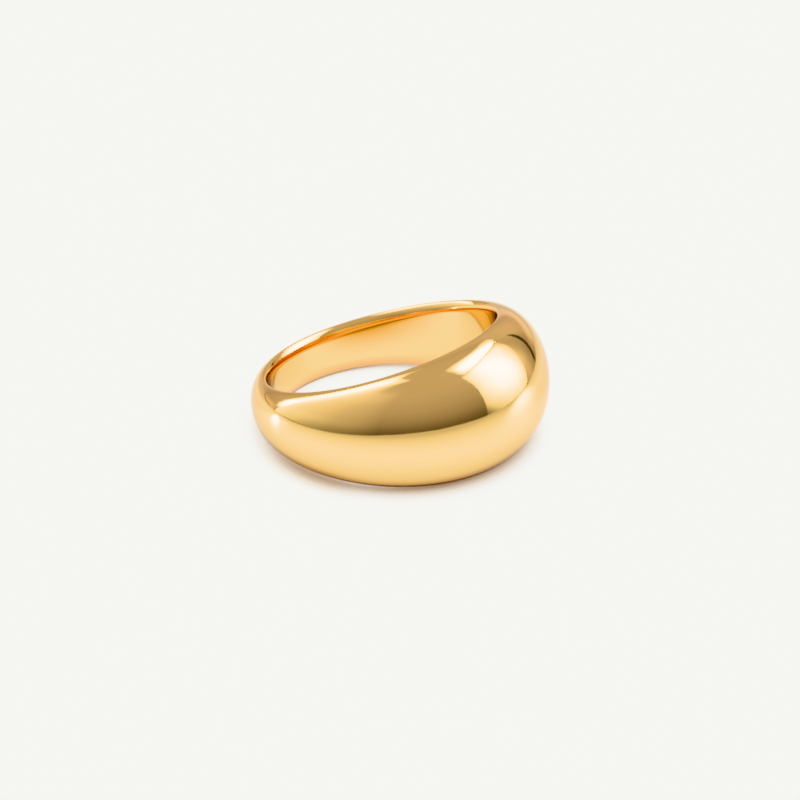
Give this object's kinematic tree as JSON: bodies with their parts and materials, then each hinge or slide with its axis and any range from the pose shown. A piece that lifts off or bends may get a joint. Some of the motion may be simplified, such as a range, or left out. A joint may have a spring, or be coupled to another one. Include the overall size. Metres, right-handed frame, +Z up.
{
  "type": "dome ring",
  "caption": "Domed finger ring: a narrow band with soft rims that widens and thickens into a smooth high dome at the front. It lies on its side.",
  "frame": {"origin": "on the table under the middle of the ring as it rests on its side, half way between its left and right and its front and back", "axes": "+Z up from the table, the dome faces -Y and the thin back of the band +Y, +X to the right as one faces the dome; the finger hole's axis leans from +Z towards +Y by the resting tilt of about 10 degrees"},
  "size_m": [0.022, 0.0224, 0.0099],
  "materials": {
    "polished_gold": "polished"
  },
  "bodies": {
    "root": {"ring": "polished_gold"}
  },
  "joints": []
}
